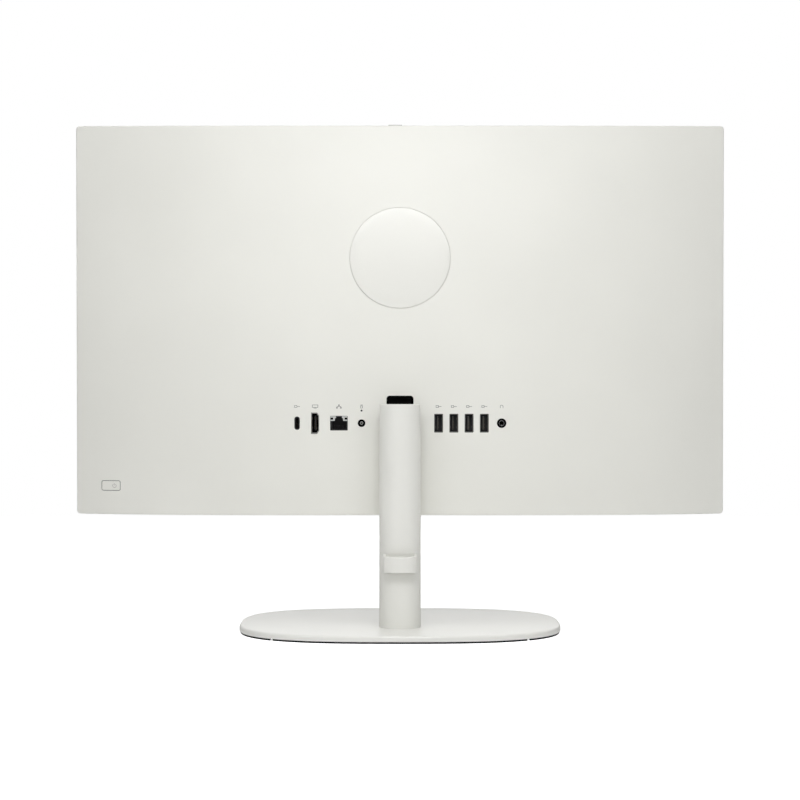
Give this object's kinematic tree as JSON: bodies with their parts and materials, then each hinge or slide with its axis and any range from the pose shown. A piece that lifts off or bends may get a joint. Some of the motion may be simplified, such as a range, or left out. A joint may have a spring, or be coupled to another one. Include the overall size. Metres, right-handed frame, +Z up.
{
  "type": "all-in-one computer",
  "caption": "All-in-one computer: flat screen with a crowned white rear cover and a row of sockets, on a tilting round-backed neck and an oval base.",
  "frame": {"origin": "centre of the base's footprint, on the surface the stand rests on", "axes": "+Z up, -Y the way the screen faces, +X along the screen's width"},
  "size_m": [0.54, 0.198, 0.4217],
  "materials": {
    "cover_white": "fine satin moulded white",
    "neck_white": "fine satin moulded white",
    "base_white": "fine satin moulded white",
    "emblem": "polished pearl white",
    "black_plastic": "fine matte black",
    "shutter_grey": "light grey moulding",
    "foot_rubber": "matte dark rubber",
    "steel_plate": "dark coated steel",
    "bare_steel": "plain zinc-plated steel",
    "cast_metal": "black painted casting",
    "fastener_steel": "zinc-plated",
    "port_metal": "nickel-plated shells with black inserts",
    "screen_glass": "anti-glare black screen",
    "backlight": "screen back tray and light guide",
    "circuit_board": "solder-masked board",
    "chip": "moulded chip package",
    "aluminium": "bare sheet",
    "copper": "bare copper",
    "brass": "turned brass",
    "battery_steel": "polished can",
    "lead_film": "amber flexible film",
    "light_pipe": "clear light pipe"
  },
  "bodies": {
    "stand": {"base_cover": "base_white", "base_plate": "steel_plate", "rubber_feet": "foot_rubber", "base_screws": "fastener_steel", "neck_rear_shell": "neck_white", "neck_front_shell": "neck_white", "neck_cap": "neck_white", "neck_post": "bare_steel", "neck_foot": "cast_metal", "cable_loop": "neck_white", "hinge_arm": "cast_metal", "arm_screws": "fastener_steel", "hinge_pin": "fastener_steel", "pin_clip": "fastener_steel", "friction_washers": "fastener_steel"},
    "display_head": {"rear_cover": "cover_white", "emblem_disc": "emblem", "hinge_socket": "black_plastic", "status_lens": "light_pipe", "usb_c_port": "port_metal", "hdmi_port": "port_metal", "lan_port": "black_plastic", "dc_jack": "black_plastic", "usb_a_ports": "port_metal", "audio_jack": "black_plastic", "port_bracket": "bare_steel", "front_bezel": "cover_white", "lcd_panel": "screen_glass", "backlight_module": "backlight", "mid_frame": "bare_steel", "stand_bracket": "steel_plate", "bracket_screws": "fastener_steel", "camera_module": "circuit_board", "button_board": "circuit_board", "mainboard": "circuit_board", "board_standoffs": "brass", "board_screws": "fastener_steel", "processor": "chip", "cold_plate": "aluminium", "heat_pipe": "copper", "fin_stack": "aluminium", "memory_sockets": "black_plastic", "memory_modules": "circuit_board", "storage_drive": "circuit_board", "wireless_card": "circuit_board", "clock_battery": "battery_steel", "board_capacitors": "chip", "fan_housing": "black_plastic", "fan_cover": "bare_steel", "speaker_left": "black_plastic", "speaker_right": "black_plastic", "wireless_aerials": "circuit_board", "screen_lead": "lead_film"},
    "power_button": {"power_button": "cover_white"},
    "camera_shutter": {"shutter_slider": "shutter_grey"},
    "fan_rotor": {"fan_rotor": "black_plastic"}
  },
  "joints": [
    {"name": "display_tilt", "type": "hinge", "parent": "stand", "child": "display_head", "pos_m": [0, 0.0065, 0.175], "axis": [-1, 0, 0], "range_deg": [-5, 20]},
    {"name": "power_button_press", "type": "slide", "parent": "display_head", "child": "power_button", "axis": [0, -1, 0], "range_m": [0, 0.0008], "stiffness_N_per_m": 1500},
    {"name": "camera_shutter_slide", "type": "slide", "parent": "display_head", "child": "camera_shutter", "axis": [-1, 0, 0], "range_m": [0, 0.005]},
    {"name": "fan_spin", "type": "hinge", "parent": "display_head", "child": "fan_rotor", "pos_m": [0.166, 0.0015, 0.235], "axis": [0, 1, 0], "continuous": true}
  ]
}
